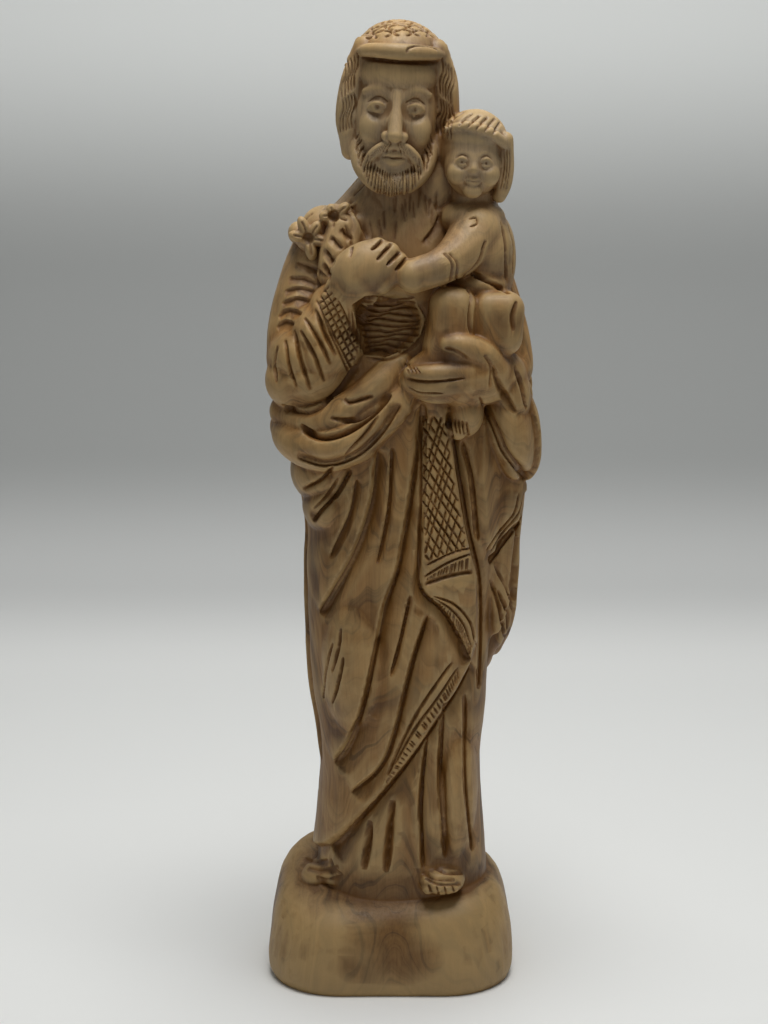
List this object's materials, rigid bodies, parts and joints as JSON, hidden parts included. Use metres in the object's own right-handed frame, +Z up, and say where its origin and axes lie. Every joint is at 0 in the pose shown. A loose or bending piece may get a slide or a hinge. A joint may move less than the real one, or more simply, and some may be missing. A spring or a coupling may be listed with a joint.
{
  "type": "carved saint statue",
  "caption": "Olive-wood carving of a standing bearded saint holding a child and lilies, cut in one piece with its rough rounded plinth.",
  "frame": {"origin": "centre of the plinth's underside", "axes": "+Z up along the figure, -Y to the front, +X to the viewer's right"},
  "size_m": [0.0853, 0.0628, 0.2996],
  "materials": {
    "olive_wood": "hand-carved, sanded and lightly oiled olive wood, satin"
  },
  "bodies": {
    "root": {"carved_saint_and_child": "olive_wood"}
  },
  "joints": []
}
